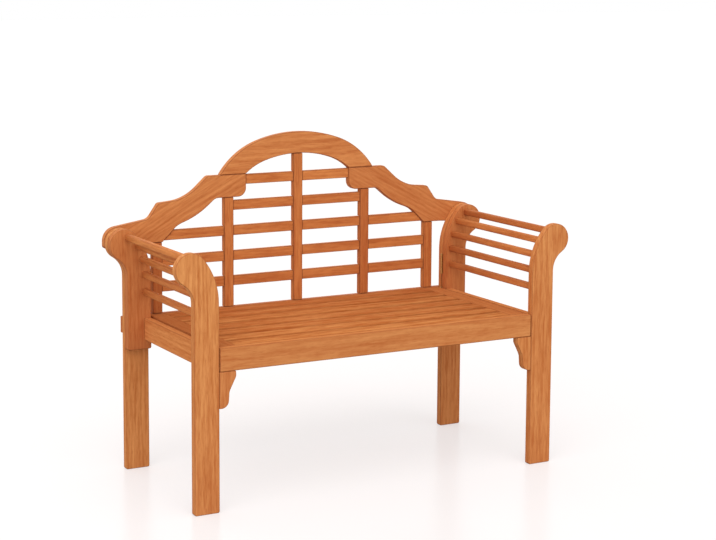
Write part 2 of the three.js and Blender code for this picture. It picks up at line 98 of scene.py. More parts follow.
class Graph:
    """A node tree that is written in short calls."""

    # The socket numbers of a Mix node that mixes colours
    MIX_SHARE, MIX_LOW, MIX_HIGH, MIX_RESULT = 0, 6, 7, 2

    def __init__(self, tree: bpy.types.NodeTree) -> None:
        """Keeps the tree, a shader's or a geometry modifier's, and empties it."""
        self.tree = tree
        tree.nodes.clear()

    def add(
        self, kind: str, inputs: SocketValues | None = None, **settings: object
    ) -> bpy.types.Node:
        """Adds a node.

        Args:
            kind: The node's type.
            inputs: What goes into its sockets, as a value or as another node's output socket.
            settings: The node's own properties.

        Returns:
            The new node.
        """
        node = self.tree.nodes.new(kind)
        for name, value in settings.items():
            setattr(node, name, value)
        for name, value in (inputs or {}).items():
            if isinstance(value, Socket):
                self.tree.links.new(value, node.inputs[name])
            else:
                node.inputs[name].default_value = value
        return node

    def out(self, kind: str, inputs: SocketValues | None = None, **settings: object) -> Socket:
        """Adds a node in the way of add, and returns its first output."""
        return self.add(kind, inputs, **settings).outputs[0]

    def sum(self, operation: str, *values: SocketValue, clamp: bool = False) -> Socket:
        """Works out a number by a Math node, which can hold it between 0 and 1."""
        given = dict(enumerate(values))
        return self.out("ShaderNodeMath", given, operation=operation, use_clamp=clamp)

    def centred(self, value: SocketValue, depth: float) -> Socket:
        """Scales a number between 0 and 1 to the depth, and moves its middle to 0."""
        return self.sum("MULTIPLY_ADD", value, depth, -0.5 * depth)

    def vector(self, operation: str, *values: SocketValue) -> Socket:
        """Works out a vector by a Vector Math node."""
        return self.out("ShaderNodeVectorMath", dict(enumerate(values)), operation=operation)

    def spread(self, value: SocketValue, source: Span, target: Span) -> Socket:
        """Maps a number from the source range to the target range, and holds it there."""
        given = dict(enumerate((value, *source, *target)))
        return self.out("ShaderNodeMapRange", given, clamp=True)

    def mix_shaders(self, share: SocketValue, first: Socket, second: Socket) -> Socket:
        """Mixes two shaders by the share of the second one."""
        return self.out("ShaderNodeMixShader", dict(enumerate((share, first, second))))

    def noise(
        self, place: SocketValue, stretch: Triple, character: dict[str, float]
    ) -> bpy.types.NodeOutputs:
        """Adds a noise that is stretched along an axis.

        Args:
            place: Where the noise is read.
            stretch: How fast it changes along each axis.
            character: The Noise node's other inputs.

        Returns:
            The Noise node's outputs.
        """
        stretched = self.out("ShaderNodeMapping", {"Vector": place, "Scale": stretch})
        fields = {"Vector": stretched, "Scale": 1.0, **character}
        return self.add("ShaderNodeTexNoise", fields).outputs

    def blend(
        self, share: SocketValue, low: SocketValue, high: SocketValue, way: str = "MIX"
    ) -> Socket:
        """Mixes two colours.

        Args:
            share: How much of the second colour there is.
            low: The first colour.
            high: The second colour.
            way: The blending mode.

        Returns:
            The mixed colour's socket.
        """
        given = {self.MIX_SHARE: share, self.MIX_LOW: low, self.MIX_HIGH: high}
        node = self.add("ShaderNodeMix", given, data_type="RGBA", blend_type=way)
        return node.outputs[self.MIX_RESULT]


def rgba(colour: Colour) -> tuple[float, float, float, float]:
    """Returns the colour with full opacity."""
    return (*colour, 1.0)


@dataclass(frozen=True)
class OiledWood:
    """Oiled hardwood with a straight, fine grain that runs along each board.

    The scales say how fast a pattern changes along and across the grain. It reads three attributes
    of a board: grain is the place in the log, tone is how deep the colour is, and edge is 1 on the
    rounded edges, which are darkened into a dark outline as painted shade.
    """

    name: str
    slot: Slot
    deep: Colour
    light: Colour
    flush: Colour
    # Painted shade: the colour that darkens the rounded edges into a dark outline
    edge_shade_colour: Colour = (0.29, 0.085, 0.03)
    ring_pitch: float = 0.013
    ring_depth: float = 0.26
    ring_distortion: float = 2.2
    ring_detail: float = 1.6
    wander: float = 0.05
    wander_scale: Triple = (1.6, 9.0, 9.0)
    streak_depth: float = 0.4
    streak_scale: Triple = (4.5, 105.0, 105.0)
    fleck_depth: float = 0.3
    fleck_scale: Triple = (21.0, 190.0, 190.0)
    cloud_depth: float = 0.65
    cloud_scale: Triple = (5.0, 22.0, 22.0)
    pore_depth: float = 0.3
    pore_scale: Triple = (48.0, 980.0, 980.0)
    pore_range: Span = (0.56, 0.74)
    noise_range: Span = (0.3, 0.7)
    tone_depth: float = 0.85
    # Painted shade: how far the rounded edges are darkened towards that colour
    edge_shade_depth: float = 0.5
    gloss: Span = (0.5, 0.66)
    relief: float = 0.12 * MM
    relief_strength: float = 0.6
    streak_relief: float = 0.7
    sheen: float = 0.05

    def rings(self, graph: Graph, grain: SocketValue) -> Socket:
        """Draws the growth rings, which show as long bands on a face and as arcs on an end.

        Args:
            graph: The material's tree.
            grain: The place along and across the board.

        Returns:
            The rings' strength, from 0 to 1.
        """
        wander = graph.noise(grain, self.wander_scale, {"Detail": 2.0})["Color"]
        moved = graph.vector("MULTIPLY_ADD", wander, (0.0, self.wander, self.wander), grain)
        # A Wave node draws this many rings in a metre at a scale of 1
        rings_in_a_metre = 20.0 / (2 * math.pi)
        fields = {
            "Vector": moved,
            "Scale": 1.0 / (rings_in_a_metre * self.ring_pitch),
            "Distortion": self.ring_distortion,
            "Detail": 3.0,
            "Detail Scale": self.ring_detail,
        }
        return graph.add(
            "ShaderNodeTexWave", fields, wave_type="RINGS", rings_direction="X", wave_profile="SIN"
        ).outputs["Fac"]

    def streaks(self, graph: Graph, grain: SocketValue) -> Socket:
        """Draws the broad soft streaks along the grain, with a strength about 0.5."""
        character = {"Detail": 5.0, "Roughness": 0.62, "Distortion": 0.25}
        return graph.noise(grain, self.streak_scale, character)["Fac"]

    def flecks(self, graph: Graph, grain: SocketValue) -> Socket:
        """Draws the short bright and dark flecks between the streaks, about 0.5 too."""
        character = {"Detail": 2.0, "Roughness": 0.5, "Distortion": 0.1}
        return graph.noise(grain, self.fleck_scale, character)["Fac"]

    def pores(self, graph: Graph, grain: SocketValue) -> Socket:
        """Draws the short dark pores, with a depth from 0 to 1."""
        speckle = graph.noise(grain, self.pore_scale, {"Detail": 1.0})["Fac"]
        return graph.spread(speckle, self.pore_range, (0.0, 1.0))

    def figure(self, graph: Graph, grain: SocketValue, streaks: SocketValue) -> Socket:
        """Adds the streaks, the flecks, the rings and the slow clouds.

        Args:
            graph: The material's tree.
            grain: The place along and across the board.
            streaks: The streaks' strength.

        Returns:
            How light the wood is, from 0 to 1.
        """
        middle, depth, fleck = 0.5, self.streak_depth, self.fleck_depth
        banding = graph.spread(streaks, self.noise_range, (middle - depth, middle + depth))
        flecking = graph.spread(self.flecks(graph, grain), self.noise_range, (-fleck, fleck))
        ringing = graph.centred(self.rings(graph, grain), self.ring_depth)
        cloud = graph.noise(grain, self.cloud_scale, {"Detail": 3.0})["Fac"]
        clouding = graph.centred(cloud, self.cloud_depth)
        fine = graph.sum("ADD", banding, flecking)
        return graph.sum("ADD", graph.sum("ADD", fine, ringing), clouding, clamp=True)

    def material(self) -> bpy.types.Material:
        """Builds the wood from the boards' attributes grain, tone and edge.

        Returns:
            The material.
        """
        made = bpy.data.materials.new(self.name)
        made.use_nodes = True
        graph = Graph(made.node_tree)
        grain = graph.add("ShaderNodeAttribute", attribute_name="grain").outputs["Vector"]
        tone = graph.add("ShaderNodeAttribute", attribute_name="tone").outputs["Fac"]
        edge = graph.add("ShaderNodeAttribute", attribute_name="edge").outputs["Fac"]
        streaks = self.streaks(graph, grain)
        pores = self.pores(graph, grain)
        flush = rgba(self.flush)
        body = graph.blend(self.figure(graph, grain, streaks), rgba(self.deep), rgba(self.light))
        toned = graph.blend(graph.sum("MULTIPLY", tone, self.tone_depth), body, flush)
        pitted = graph.sum("MULTIPLY", pores, self.pore_depth)
        porous = graph.blend(pitted, toned, flush, "MULTIPLY")
        # Painted shade: the rounded edges are darkened into a dark outline
        rim_shaded = graph.blend(graph.sum("MULTIPLY", edge, self.edge_shade_depth), porous, rgba(self.edge_shade_colour))
        height = graph.sum("SUBTRACT", graph.sum("MULTIPLY", streaks, self.streak_relief), pores)
        bump = {"Strength": self.relief_strength, "Distance": self.relief, "Height": height}
        fields = {
            "Base Color": rim_shaded,
            "Roughness": graph.spread(streaks, self.noise_range, self.gloss),
            "Normal": graph.out("ShaderNodeBump", bump),
            "Specular IOR Level": self.sheen,
        }
        shader = graph.out("ShaderNodeBsdfPrincipled", fields)
        graph.add("ShaderNodeOutputMaterial", {"Surface": shader})
        return made


@dataclass(frozen=True)
class DullBrass:
    """Brass plating that has gone dull, slightly mottled and finely scratched."""

    name: str
    slot: Slot
    bright: Colour = (0.72, 0.43, 0.16)
    dull: Colour = (0.5, 0.27, 0.09)
    mottle_scale: float = 420.0
    mottle_range: Span = (0.35, 0.65)
    scratch_scale: Triple = (900.0, 900.0, 60.0)
    scratch_range: Span = (0.3, 0.7)
    gloss: Span = (0.38, 0.55)
    relief: float = 0.03 * MM
    relief_strength: float = 0.3

    def material(self) -> bpy.types.Material:
        """Builds the brass on the piece's own place.

        Returns:
            The material.
        """
        made = bpy.data.materials.new(self.name)
        made.use_nodes = True
        graph = Graph(made.node_tree)
        place = graph.add("ShaderNodeTexCoord").outputs["Object"]
        spots = {"Vector": place, "Scale": self.mottle_scale, "Detail": 4.0}
        mottle = graph.add("ShaderNodeTexNoise", spots).outputs["Fac"]
        share = graph.spread(mottle, self.mottle_range, (0.0, 1.0))
        scratches = graph.noise(place, self.scratch_scale, {"Detail": 2.0})["Fac"]
        bump = {"Strength": self.relief_strength, "Distance": self.relief, "Height": scratches}
        fields = {
            "Base Color": graph.blend(share, rgba(self.dull), rgba(self.bright)),
            "Metallic": 1.0,
            "Roughness": graph.spread(scratches, self.scratch_range, self.gloss),
            "Normal": graph.out("ShaderNodeBump", bump),
        }
        shader = graph.out("ShaderNodeBsdfPrincipled", fields)
        graph.add("ShaderNodeOutputMaterial", {"Surface": shader})
        return made


@dataclass(frozen=True)
class PaleFloor:
    """Floor paint that keeps the bench's shadow and shows almost white to the camera."""

    name: str = "floor_paint"
    paint: Colour = (0.5, 0.5, 0.5)
    pale: Colour = (0.42, 0.385, 0.378)
    glow: float = 0.55
    sheen: float = 0.07
    sheen_roughness: float = 0.22

    def material(self) -> bpy.types.Material:
        """Builds the plain paint that lights the bench, and the pale one that the camera sees.

        Returns:
            The material.
        """
        made = bpy.data.materials.new(self.name)
        made.use_nodes = True
        graph = Graph(made.node_tree)
        seen = graph.add("ShaderNodeLightPath").outputs["Is Camera Ray"]
        paint = graph.out("ShaderNodeBsdfDiffuse", {"Color": rgba(self.paint)})
        pale = graph.out("ShaderNodeBsdfDiffuse", {"Color": rgba(self.pale)})
        glow = graph.out("ShaderNodeEmission", {"Color": rgba(WHITE), "Strength": self.glow})
        bright = graph.out("ShaderNodeAddShader", dict(enumerate((pale, glow))))
        polish = {"Color": rgba(WHITE), "Roughness": self.sheen_roughness}
        sheen = graph.out("ShaderNodeBsdfGlossy", polish)
        polished = graph.mix_shaders(self.sheen, bright, sheen)
        both = graph.mix_shaders(seen, paint, polished)
        graph.add("ShaderNodeOutputMaterial", {"Surface": both})
        return made


Finish = OiledWood | DullBrass

LEG_WOOD = OiledWood(
    "oiled_leg_boards",
    Slot.LEGS,
    deep=(0.5, 0.155, 0.04),
    light=(0.72, 0.305, 0.1),
    flush=(0.44, 0.108, 0.033),
    streak_depth=0.34,
)
CREST_WOOD = OiledWood(
    "oiled_crest_boards",
    Slot.CREST,
    deep=(0.49, 0.15, 0.041),
    light=(0.72, 0.295, 0.097),
    flush=(0.41, 0.105, 0.031),
    streak_depth=0.3,
    fleck_depth=0.22,
    cloud_depth=0.5,
    edge_shade_depth=0.8,
)
LATH_WOOD = OiledWood(
    "oiled_laths",
    Slot.LATHS,
    deep=(0.5, 0.145, 0.038),
    light=(0.71, 0.265, 0.078),
    flush=(0.38, 0.09, 0.026),
    # Painted shade: a strong dark outline along the laths' rounded edges
    edge_shade_colour=(0.2, 0.06, 0.025),
    edge_shade_depth=0.9,
)
ARM_WOOD = replace(
    LATH_WOOD,
    name="oiled_arm_slats",
    edge_shade_colour=(0.29, 0.085, 0.03),
    edge_shade_depth=0.3,
)
SEAT_WOOD = OiledWood(
    "oiled_seat_boards",
    Slot.SEAT,
    deep=(0.495, 0.152, 0.045),
    light=(0.68, 0.288, 0.098),
    flush=(0.42, 0.115, 0.032),
    streak_depth=0.28,
    fleck_depth=0.22,
    cloud_depth=0.4,
    sheen=0.0,
)
SLAT_WOOD = OiledWood(
    "oiled_seat_slats",
    Slot.SEAT,
    deep=(0.45, 0.13, 0.031),
    light=(0.74, 0.325, 0.108),
    flush=(0.39, 0.085, 0.022),
    edge_shade_colour=(0.3, 0.085, 0.02),
    streak_depth=0.36,
    edge_shade_depth=0.45,
    sheen=0.0,
)
RAIL_WOOD = replace(
    SEAT_WOOD,
    name="oiled_lower_rails",
    deep=(0.52, 0.152, 0.043),
    light=(0.72, 0.29, 0.096),
)
BRASS = DullBrass("dull_brass", Slot.BRASS)


@dataclass
class Workshop:
    """Makes each finish's material once, and turns rough pieces into finished ones.

    A ridge under flat_angle is taken out and one over corner_angle is rounded, both in degrees. A
    face that is narrower than strip_width counts as part of a rounded edge. A board lies up to
    log_length along its log from the middle, and at a distance in log_reach from its heart.
    """

    made: dict[Finish, bpy.types.Material] = field(default_factory=dict)
    weld_reach: float = 0.01 * MM
    flat_angle: float = 0.4
    corner_angle: float = 40.0
    corner_steps: int = 3
    strip_width: float = 2.2 * MM
    tone_spread: float = 0.12
    log_length: float = 9.0
    log_reach: Span = (0.05, 0.16)

    def material(self, finish: Finish) -> bpy.types.Material:
        """Finds a finish's material, or builds it the first time.

        Args:
            finish: The finish.

        Returns:
            Its material.
        """
        if finish not in self.made:
            self.made[finish] = finish.material()
        return self.made[finish]

    def mark_edges(self, mesh: bpy.types.Mesh) -> None:
        """Writes the attribute edge, which is 1 on the narrow strips that round a board's edges.

        Args:
            mesh: A board with its edges already rounded.
        """
        # Painted shade: the wood darkens these strips into a dark outline along the rounded edges
        rim_shaded = [True] * len(mesh.vertices)
        for face in mesh.polygons:
            corners = [mesh.vertices[i].co for i in face.vertices]
            longest = max((a - b).length for a, b in zip(corners, corners[1:] + corners[:1]))
            if face.area > self.strip_width * longest:
                for i in face.vertices:
                    rim_shaded[i] = False
        attribute = mesh.attributes.new("edge", "FLOAT", "POINT")
        attribute.data.foreach_set("value", [1.0 if w else 0.0 for w in rim_shaded])

    def mark_grain(
        self, mesh: bpy.types.Mesh, name: str, grain: Grain, tone: float, painted_top_light: float
    ) -> None:
        """Writes the attributes grain, the board's place in its log, and tone, its depth of colour.

        Args:
            mesh: The board.
            name: The board's name, which picks its place in the log.
            grain: Which way its grain runs.
            tone: How deep its colour is halfway up, from 0 to 1.
            painted_top_light: How much lighter it is painted at its top than at its foot, as
                painted light.
        """
        dice = random.Random(name)
        turn = grain.matrix().transposed()
        middle = sum((v.co for v in mesh.vertices), Vector()) / len(mesh.vertices)
        angle = dice.uniform(0.0, 2 * math.pi)
        reach = dice.uniform(*self.log_reach)
        along = dice.uniform(-self.log_length, self.log_length)
        log_place = Vector((along, reach * math.cos(angle), reach * math.sin(angle)))
        places = [turn @ (v.co - middle) + log_place for v in mesh.vertices]
        attribute = mesh.attributes.new("grain", "FLOAT_VECTOR", "POINT")
        attribute.data.foreach_set("vector", [value for place in places for value in place])
        own = min(1.0, max(0.0, tone + dice.uniform(-self.tone_spread, self.tone_spread)))
        heights = [v.co.z for v in mesh.vertices]
        foot, top = min(heights), max(heights)
        # Painted light and shade: the tone is made lighter towards the top and deeper towards the
        # foot
        depths = [own + painted_top_light * (0.5 - (z - foot) / (top - foot)) for z in heights]
        mesh.attributes.new("tone", "FLOAT", "POINT").data.foreach_set("value", depths)

    def rounded(self, node: str, rounding: float) -> bpy.types.Mesh:
        """Copies a node's solid and rounds its sharp edges.

        Args:
            node: The node's name.
            rounding: The radius of its edges.

        Returns:
            A plain mesh in the node's place.
        """
        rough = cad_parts[node].data.copy()
        rough.name = f"{node}_rough"
        rough.materials.clear()
        work = bmesh.new()
        work.from_mesh(rough)
        bmesh.ops.remove_doubles(work, verts=work.verts, dist=self.weld_reach)
        flat = math.radians(self.flat_angle)
        bmesh.ops.dissolve_limit(work, angle_limit=flat, verts=work.verts, edges=work.edges)
        for face in work.faces:
            face.smooth = True
        work.to_mesh(rough)
        work.free()
        holder = bpy.data.objects.new(f"{node}_rough", rough)
        bpy.context.scene.collection.objects.link(holder)
        soften = holder.modifiers.new("soften", "BEVEL")
        soften.width = rounding
        soften.segments = self.corner_steps
        soften.limit_method = "ANGLE"
        soften.angle_limit = math.radians(self.corner_angle)
        soften.use_clamp_overlap = False
        soften.miter_outer = "MITER_ARC"
        holder.modifiers.new("shade", "WEIGHTED_NORMAL").keep_sharp = True
        return self.plain(holder)

    def plain(self, holder: bpy.types.Object) -> bpy.types.Mesh:
        """Takes the evaluated mesh off an object and removes the object.

        Args:
            holder: The object with its modifiers.

        Returns:
            The mesh with the modifiers applied.
        """
        bpy.context.view_layer.update()
        state = bpy.context.evaluated_depsgraph_get()
        made = bpy.data.meshes.new_from_object(holder.evaluated_get(state), depsgraph=state)
        rough = holder.data
        bpy.data.objects.remove(holder)
        bpy.data.meshes.remove(rough)
        return made

    def place(
        self, mesh: bpy.types.Mesh, name: str, finish: Finish, body: Body, *nodes: str
    ) -> bpy.types.Object:
        """Turns a finished mesh into a piece that rides on its body.

        Args:
            mesh: The finished mesh, with its place in its vertices.
            name: The piece's name.
            finish: What it is made of.
            body: The body that it rides on.
            nodes: The solid model's nodes that it stands for.

        Returns:
            The piece.
        """
        mesh.name = name
        mesh.materials.clear()
        mesh.materials.append(self.material(finish))
        piece = bpy.data.objects.new(name, mesh)
        bpy.context.scene.collection.objects.link(piece)
        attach(piece, body.value)
        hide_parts(*nodes)
        LOG.info("%s: %d faces, on %s", name, len(mesh.polygons), body.value)
        return piece

    def board(
        self,
        node: str,
        finish: OiledWood,
        body: Body,
        grain: Grain,
        rounding: float,
        tone: float,
        painted_top_light: float = 0.0,
    ) -> bpy.types.Object:
        """Makes one board of wood from its node.

        Args:
            node: The node's name.
            finish: What it is made of.
            body: The body that it rides on.
            grain: Which way its grain runs.
            rounding: The radius of its edges.
            tone: How deep its colour is halfway up, from 0 to 1.
            painted_top_light: How much lighter it is painted at its top than at its foot, as
                painted light.

        Returns:
            The piece.
        """
        mesh = self.rounded(node, rounding)
        self.mark_edges(mesh)
        self.mark_grain(mesh, node, grain, tone, painted_top_light)
        return self.place(mesh, f"{node}_board", finish, body, node)

    def fitting(self, node: str, body: Body, rounding: float) -> bpy.types.Object:
        """Makes one brass fitting from its node, and returns the piece."""
        mesh = self.rounded(node, rounding)
        return self.place(mesh, f"{node}_brass", BRASS, body, node)


@dataclass
class SlatRow:
    """Slats with rounded edges, one at each point of a carrier mesh, made by a node tree.

    The tip is how far a slat's ends are drawn in, and the figure is how coarse its grain is. Each
    slat lies in its log at a random place between log_low and log_high.
    """

    length: float
    width: float
    thickness: float
    rounding: float
    tones: tuple[float, ...]
    seed: int
    tip: float = 0.8 * MM
    figure: float = 1.0
    corner_points: int = 4
    spine_cuts: int = 2
    log_low: Triple = (-9.0, 0.05, -0.12)
    log_high: Triple = (9.0, 0.14, 0.12)
    sharp_angle: float = 50.0

    def tree(self) -> bpy.types.NodeTree:
        """Builds the node tree that makes the slats.

        Returns:
            The tree, with named inputs for the sizes.
        """
        tree = bpy.data.node_groups.new("slat_row", "GeometryNodeTree")
        add_socket = tree.interface.new_socket
        add_socket("Carrier", in_out="INPUT", socket_type="NodeSocketGeometry")
        for name in ("Length", "Width", "Thickness", "Rounding", "Tip", "Turn"):
            add_socket(name, in_out="INPUT", socket_type="NodeSocketFloat")
        add_socket("Seed", in_out="INPUT", socket_type="NodeSocketInt")
        add_socket("Finish", in_out="INPUT", socket_type="NodeSocketMaterial")
        add_socket("Slats", in_out="OUTPUT", socket_type="NodeSocketGeometry")
        graph = Graph(tree)
        given = graph.add("NodeGroupInput").outputs
        stored = {"Name": "share"}
        share = graph.out("GeometryNodeInputNamedAttribute", stored, data_type="FLOAT_VECTOR")
        turn = graph.out("ShaderNodeCombineXYZ", {"Z": given["Turn"]})
        fields = {
            "Points": given["Carrier"],
            "Instance": self.slat(graph, given),
            "Rotation": graph.out("FunctionNodeEulerToRotation", {"Euler": turn}),
            "Scale": share,
        }
        row = graph.out("GeometryNodeInstanceOnPoints", fields)
        shifts = {"Min": self.log_low, "Max": self.log_high, "Seed": given["Seed"]}
        shift = graph.out("FunctionNodeRandomValue", shifts, data_type="FLOAT_VECTOR")
        kept = self.keep(graph, row, "shift", shift, "INSTANCE")
        whole = graph.out("GeometryNodeRealizeInstances", {"Geometry": kept})
        dressing = {"Geometry": whole, "Material": given["Finish"]}
        graph.add("NodeGroupOutput", {"Slats": graph.out("GeometryNodeSetMaterial", dressing)})
        return tree

    def keep(
        self,
        graph: Graph,
        shape: Socket,
        name: str,
        value: Socket,
        domain: str,
    ) -> Socket:
        """Stores a vector on a shape under a name.

        Args:
            graph: The tree.
            shape: The geometry.
            name: The attribute's name.
            value: What it holds.
            domain: What it is stored on.

        Returns:
            The geometry with the attribute.
        """
        fields = {"Geometry": shape, "Name": name, "Value": value}
        kind = "GeometryNodeStoreNamedAttribute"
        return graph.out(kind, fields, data_type="FLOAT_VECTOR", domain=domain)

    def spine(self, graph: Graph, given: bpy.types.NodeOutputs) -> tuple[Socket, Socket]:
        """Draws a slat's middle line along X, with two points close together at each end.

        Args:
            graph: The tree.
            given: The tree's inputs.

        Returns:
            The line, and a number that is 1 at its two end points and 0 between them.
        """
        half = graph.sum("MULTIPLY", given["Length"], 0.5)
        start = graph.out("ShaderNodeCombineXYZ", {"X": graph.sum("MULTIPLY", half, -1.0)})
        end = graph.out("ShaderNodeCombineXYZ", {"X": half})
        line = graph.out("GeometryNodeCurvePrimitiveLine", {"Start": start, "End": end})
        cut = {"Curve": line, "Cuts": self.spine_cuts}
        line = graph.out("GeometryNodeSubdivideCurve", cut)
        middle = (self.spine_cuts + 1) / 2
        from_middle = graph.sum("SUBTRACT", graph.out("GeometryNodeInputIndex"), middle)
        is_end = graph.sum("GREATER_THAN", graph.sum("ABSOLUTE", from_middle), middle - 0.5)
        inner = graph.sum("SUBTRACT", half, given["Tip"])
        reach = graph.sum("MULTIPLY_ADD", is_end, given["Tip"], inner)
        along = graph.sum("MULTIPLY", graph.sum("SIGN", from_middle), reach)
        place = graph.out("ShaderNodeCombineXYZ", {"X": along})
        line = graph.out("GeometryNodeSetPosition", {"Geometry": line, "Position": place})
        return graph.out("GeometryNodeSetCurveNormal", {"Curve": line}, mode="Z_UP"), is_end

    def slat(self, graph: Graph, given: bpy.types.NodeOutputs) -> Socket:
        """Sweeps one slat along X, with its ends drawn in a little.

        Args:
            graph: The tree.
            given: The tree's inputs.

        Returns:
            The slat's mesh, with the attribute grain.
        """
        spine, is_end = self.spine(graph, given)
        outline = {"Width": given["Width"], "Height": given["Thickness"]}
        section = graph.out("GeometryNodeCurvePrimitiveQuadrilateral", outline)
        corners = {"Curve": section, "Count": self.corner_points, "Radius": given["Rounding"]}
        section = graph.out("GeometryNodeFilletCurve", corners, mode="POLY")
        both_sides = graph.sum("MULTIPLY", given["Tip"], -2.0)
        drawn_in = graph.sum("DIVIDE", both_sides, given["Width"])
        scale = graph.sum("MULTIPLY_ADD", is_end, drawn_in, 1.0)
        sweep = {"Curve": spine, "Profile Curve": section, "Scale": scale, "Fill Caps": True}
        mesh = graph.out("GeometryNodeCurveToMesh", sweep)
        return self.keep(graph, mesh, "grain", graph.out("GeometryNodeInputPosition"), "POINT")

    def carrier(self, name: str, nodes: list[str], turned: bool) -> bpy.types.Mesh:
        """Makes the mesh with one point in the middle of each slat.

        Args:
            name: The piece's name.
            nodes: The nodes that the slats stand for.
            turned: Whether the slats lie along Y.

        Returns:
            The points, with the attributes share, each slat's size as a share of the row's, and
            tone.
        """
        points, shares = [], []
        for node in nodes:
            low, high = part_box(node)
            size = high - low
            along, across = (size.y, size.x) if turned else (size.x, size.y)
            points.append((low + high) / 2)
            shares.append((along / self.length, across / self.width, size.z / self.thickness))
        mesh = bpy.data.meshes.new(f"{name}_carrier")
        mesh.from_pydata(points, [], [])
        share = mesh.attributes.new("share", "FLOAT_VECTOR", "POINT")
        share.data.foreach_set("vector", [value for item in shares for value in item])
        tone = mesh.attributes.new("tone", "FLOAT", "POINT")
        tone.data.foreach_set("value", self.tones)
        return mesh

    def build(
        self,
        shop: Workshop,
        name: str,
        finish: OiledWood,
        body: Body,
        turn: float,
        nodes: list[str],
    ) -> bpy.types.Object:
        """Makes the slats where their nodes are.

        Args:
            shop: The workshop with the finishes.
            name: The piece's name.
            finish: What the slats are made of.
            body: The body that it rides on.
            turn: The slats' turn about Z in degrees, 0 for slats along X and 90 for slats along Y.
            nodes: The nodes that the slats stand for.

        Returns:
            The piece.
        """
        points = self.carrier(name, nodes, turned=turn != 0.0)
        holder = bpy.data.objects.new(f"{name}_carrier", points)
        bpy.context.scene.collection.objects.link(holder)
        row = holder.modifiers.new("slats", "NODES")
        tree = self.tree()
        row.node_group = tree
        values = {
            "Length": self.length,
            "Width": self.width,
            "Thickness": self.thickness,
            "Rounding": self.rounding,
            "Tip": self.tip,
            "Turn": math.radians(turn),
            "Seed": self.seed,
            "Finish": shop.material(finish),
        }
        for socket in tree.interface.items_tree:
            if socket.name in values:
                row[socket.identifier] = values[socket.name]
        mesh = shop.plain(holder)
        self.settle(mesh)
        shop.mark_edges(mesh)
        return shop.place(mesh, name, finish, body, *nodes)

    def settle(self, mesh: bpy.types.Mesh) -> None:
        """Adds each slat's place in its log to its grain, and shades its faces smoothly.

        Args:
            mesh: The slats.
        """
        grain = mesh.attributes["grain"].data
        shift = mesh.attributes["shift"].data
        squeeze = Vector((1.0, 1.0 / self.figure, 1.0 / self.figure))
        for here, there in zip(grain, shift):
            here.vector = here.vector * squeeze + there.vector
        mesh.attributes.remove(mesh.attributes["shift"])
        mesh.shade_smooth()
        mesh.set_sharp_from_angle(angle=math.radians(self.sharp_angle))


@dataclass
class BackFrame:
    """The rear legs, the crest rail in three boards, and the rail behind the seat."""

    board_rounding: float = 2.6 * MM
    crest_rounding: float = 2.4 * MM
    rail_rounding: float = 1.8 * MM
    leg_tones: Span = (0.12, 0.33)
    wing_tones: Span = (0.2, 0.45)
    arch_tone: float = 0.05
    rail_tone: float = 0.72

    def build(self, shop: Workshop) -> None:
        """Makes the six boards.

        Args:
            shop: The workshop with the finishes.
        """
        body, upright, level = Body.FRAME, Grain.UPRIGHT, Grain.LEVEL
        leg_edges, crest_edges = self.board_rounding, self.crest_rounding
        slopes = (Grain.RISING, Grain.FALLING)
        for side, slope, leg, wing in zip(SIDES, slopes, self.leg_tones, self.wing_tones):
            shop.board(f"rear_leg_{side}", LEG_WOOD, body, upright, leg_edges, leg)
            shop.board(f"crest_wing_{side}", CREST_WOOD, body, slope, crest_edges, wing)
        shop.board("crest_arch", CREST_WOOD, body, level, crest_edges, self.arch_tone)
        rail_edges = self.rail_rounding
        shop.board("back_bottom_rail", CREST_WOOD, body, level, rail_edges, self.rail_tone)


@dataclass
class Lattice:
    """The upright and level laths of the back, halved into each other."""

    rounding: float = 1.7 * MM
    # The first stile's deep tone is painted shade, as it stands in the shade of the left arm
    stile_tones: tuple[float, ...] = (0.75, 0.3, 0.3, 0.45, 0.4)
    rail_tones: tuple[float, ...] = (0.15, 0.3, 0.35, 0.4, 0.45)

    def build(self, shop: Workshop) -> None:
        """Makes the laths.

        Args:
            shop: The workshop with the finishes.
        """
        sets = (
            ("back_stile", Grain.UPRIGHT, self.stile_tones),
            ("back_rail", Grain.LEVEL, self.rail_tones),
        )
        for name, grain, tones in sets:
            for i, tone in enumerate(tones, 1):
                shop.board(f"{name}_{i}", LATH_WOOD, Body.FRAME, grain, self.rounding, tone)


@dataclass
class Seat:
    """The apron, the two end rails, the two boards below, and the slats."""

    slat_rounding: float = 3.0 * MM
    board_rounding: float = 2.2 * MM
    apron_rounding: float = 3.0 * MM
    apron_tone: float = 0.25
    # Partly painted shade: the deep tones of the seat's boards and slats make its top darker than
    # its front faces
    board_tone: float = 0.7
    slat_tones: tuple[float, ...] = (0.67, 0.56, 0.4, 0.52, 0.5, 0.36, 0.3)
    slat_tip: float = 1.5 * MM
    slat_figure: float = 1.8
    seed: int = 21

    def build(self, shop: Workshop) -> None:
        """Makes the seat.

        Args:
            shop: The workshop with the finishes.
        """
        body, edges = Body.SEAT, self.board_rounding
        rounding, tone = self.apron_rounding, self.apron_tone
        shop.board("seat_apron", SEAT_WOOD, body, Grain.LEVEL, rounding, tone)
        for side in SIDES:
            for part in ("end_rail", "support"):
                node = f"seat_{part}_{side}"
                shop.board(node, SEAT_WOOD, body, Grain.DEEP, edges, self.board_tone)
        nodes = [f"seat_slat_{i}" for i in range(1, len(self.slat_tones) + 1)]
        # The second slat gives the usual size, and each slat is made as a share of it
        low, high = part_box(nodes[1])
        size = high - low
        row = SlatRow(
            length=size.x,
            width=size.y,
            thickness=size.z,
            rounding=self.slat_rounding,
            tones=self.slat_tones,
            seed=self.seed,
            tip=self.slat_tip,
            figure=self.slat_figure,
        )
        row.build(shop, "seat_slats", SLAT_WOOD, body, 0.0, nodes)


